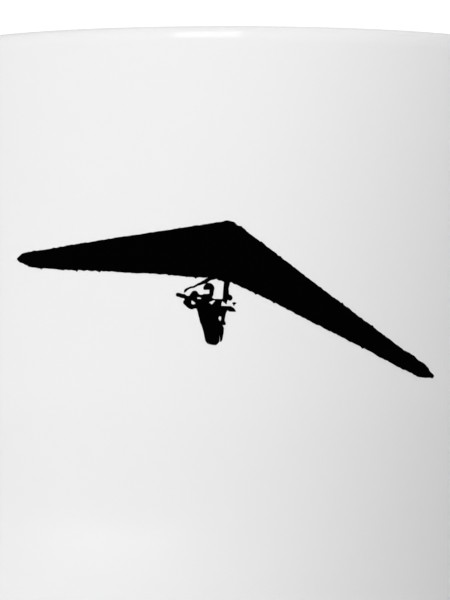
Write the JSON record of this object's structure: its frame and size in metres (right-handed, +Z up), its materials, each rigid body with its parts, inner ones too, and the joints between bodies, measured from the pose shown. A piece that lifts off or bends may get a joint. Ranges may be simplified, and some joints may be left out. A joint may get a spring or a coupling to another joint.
{
  "type": "printed ceramic mug",
  "caption": "Straight white glazed mug with a rounded lip, an oval strap handle and a black printed figure wrapped round its front.",
  "frame": {"origin": "on the surface that the mug stands on, at the middle of the footprint's box; the cup's own axis is 16.5 mm to its -X side", "axes": "+Z up through the mouth, +X from the cup towards the handle, -Y the printed front"},
  "size_m": [0.115, 0.0825, 0.095],
  "materials": {
    "body_glaze": "glossy white glaze, bare on the foot ring",
    "handle_glaze": "glossy white glaze",
    "sail_ink": "flat black print film",
    "flyer_ink": "flat black print film"
  },
  "bodies": {
    "root": {"body": "body_glaze", "handle": "handle_glaze", "print_sail": "sail_ink", "print_flyer": "flyer_ink"}
  },
  "joints": []
}
